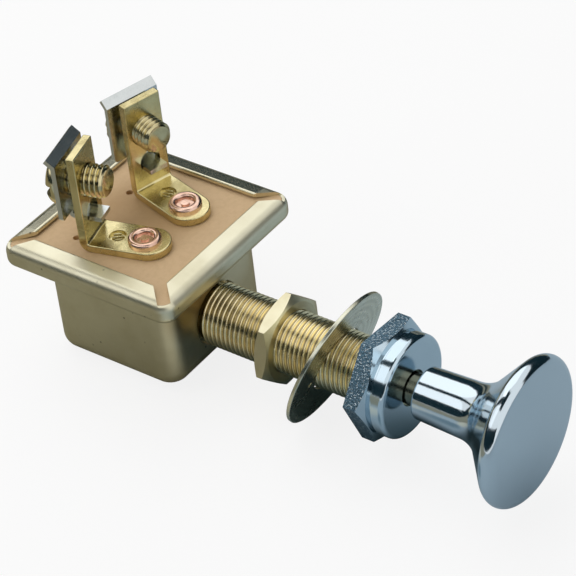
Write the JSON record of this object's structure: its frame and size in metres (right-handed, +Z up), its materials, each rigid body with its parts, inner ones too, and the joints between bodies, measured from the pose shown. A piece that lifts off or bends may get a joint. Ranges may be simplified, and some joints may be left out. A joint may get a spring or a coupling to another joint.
{
  "type": "push-pull switch",
  "caption": "Panel push-pull switch: brass case with crimped terminal board, threaded stem with nuts and washer, screw terminals, and a mushroom knob on a sliding rod.",
  "frame": {"origin": "on the stem's axis, at the outside of the case's front wall", "axes": "+Z up towards the terminals, -Y along the stem towards the knob, +X across"},
  "size_m": [0.0304, 0.08, 0.0397],
  "materials": {
    "case_brass": "satin drawn sheet",
    "turned_brass": "turned, bright",
    "terminal_brass": "polished strip",
    "contact_brass": "rolled strip",
    "rivet_copper": "bright copper",
    "bright_chrome": "polished chrome plate",
    "clamp_steel": "bright zinc plate",
    "fibre_board": "matte fibre",
    "moulded_block": "matte moulding"
  },
  "bodies": {
    "base": {"case": "case_brass", "terminal_board": "fibre_board", "threaded_stem": "turned_brass", "panel_washer": "turned_brass", "terminal_left": "terminal_brass", "terminal_right": "terminal_brass", "rivet_left": "rivet_copper", "rivet_right": "rivet_copper"},
    "plunger": {"plunger_shaft": "turned_brass", "knob": "bright_chrome", "retaining_clip": "clamp_steel", "stake_washer": "turned_brass", "contact_carriage": "moulded_block", "contact_bridge": "contact_brass", "contact_spring": "contact_brass"},
    "jam_nut": {"jam_nut": "turned_brass"},
    "face_nut": {"face_nut": "bright_chrome"},
    "clamp_left": {"clamp_plate_left": "clamp_steel"},
    "clamp_right": {"clamp_plate_right": "clamp_steel"},
    "screw_left": {"terminal_screw_left": "terminal_brass"},
    "screw_right": {"terminal_screw_right": "terminal_brass"}
  },
  "joints": [
    {"name": "plunger_slide", "type": "slide", "parent": "base", "child": "plunger", "axis": [0, -1, 0], "range_m": [0, 0.008]},
    {"name": "jam_nut_turn", "type": "hinge", "parent": "base", "child": "jam_nut", "pos_m": [0, -0.0122, 0], "axis": [0, -1, 0], "continuous": true},
    {"name": "face_nut_turn", "type": "hinge", "parent": "base", "child": "face_nut", "pos_m": [0, -0.031, 0], "axis": [0, -1, 0], "continuous": true},
    {"name": "clamp_left_slide", "type": "slide", "parent": "base", "child": "clamp_left", "axis": [0.2588, -0.9659, 0], "range_m": [-0.002, 0.00105]},
    {"name": "screw_left_turn", "type": "hinge", "parent": "clamp_left", "child": "screw_left", "pos_m": [-0.00773, 0.01871, 0.023], "axis": [0.2588, -0.9659, 0], "range_deg": [-915, 485]},
    {"name": "clamp_right_slide", "type": "slide", "parent": "base", "child": "clamp_right", "axis": [-0.2588, -0.9659, 0], "range_m": [-0.002, 0.00105]},
    {"name": "screw_right_turn", "type": "hinge", "parent": "clamp_right", "child": "screw_right", "pos_m": [0.00773, 0.01871, 0.023], "axis": [-0.2588, -0.9659, 0], "range_deg": [-915, 485]}
  ],
  "couplings": [
    {"joint": "screw_left_turn", "follows": "clamp_left_slide", "rad_per_m": 7915.8},
    {"joint": "screw_right_turn", "follows": "clamp_right_slide", "rad_per_m": 7915.8}
  ]
}
